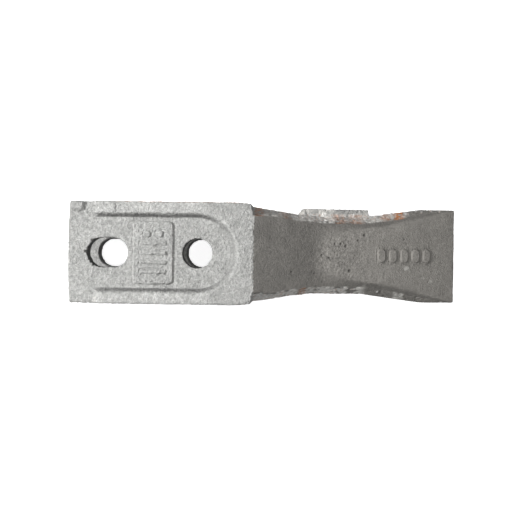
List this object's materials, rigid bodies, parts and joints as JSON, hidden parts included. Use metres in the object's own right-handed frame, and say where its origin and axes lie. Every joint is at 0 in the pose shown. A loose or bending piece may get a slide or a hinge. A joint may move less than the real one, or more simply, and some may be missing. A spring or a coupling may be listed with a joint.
{
  "type": "excavator bucket tooth",
  "caption": "Forked bolt-on cast bucket tooth: straps that straddle a lip plate, U-shaped bolt guards, a scooped waist and a flared digging blade.",
  "frame": {"origin": "on the front bolt hole's axis, midway between the two straps", "axes": "+X towards the cutting edge, +Z towards the side with the blank raised panel, +Y completes the right-handed frame"},
  "size_m": [0.3, 0.076, 0.064],
  "materials": {
    "shank_cast": "as-cast steel, sand texture, light grey",
    "blade_cast": "as-cast steel, fine texture, dark warm grey"
  },
  "bodies": {
    "root": {"top_strap": "shank_cast", "bottom_strap": "shank_cast", "top_bolt_guard": "shank_cast", "bottom_bolt_guard": "shank_cast", "throat_block": "shank_cast", "neck": "blade_cast", "blade": "blade_cast", "cutting_edge": "blade_cast", "feeder_pad": "shank_cast", "rear_corner_pad": "shank_cast", "id_panel": "shank_cast", "tally_pips": "blade_cast"}
  },
  "joints": []
}
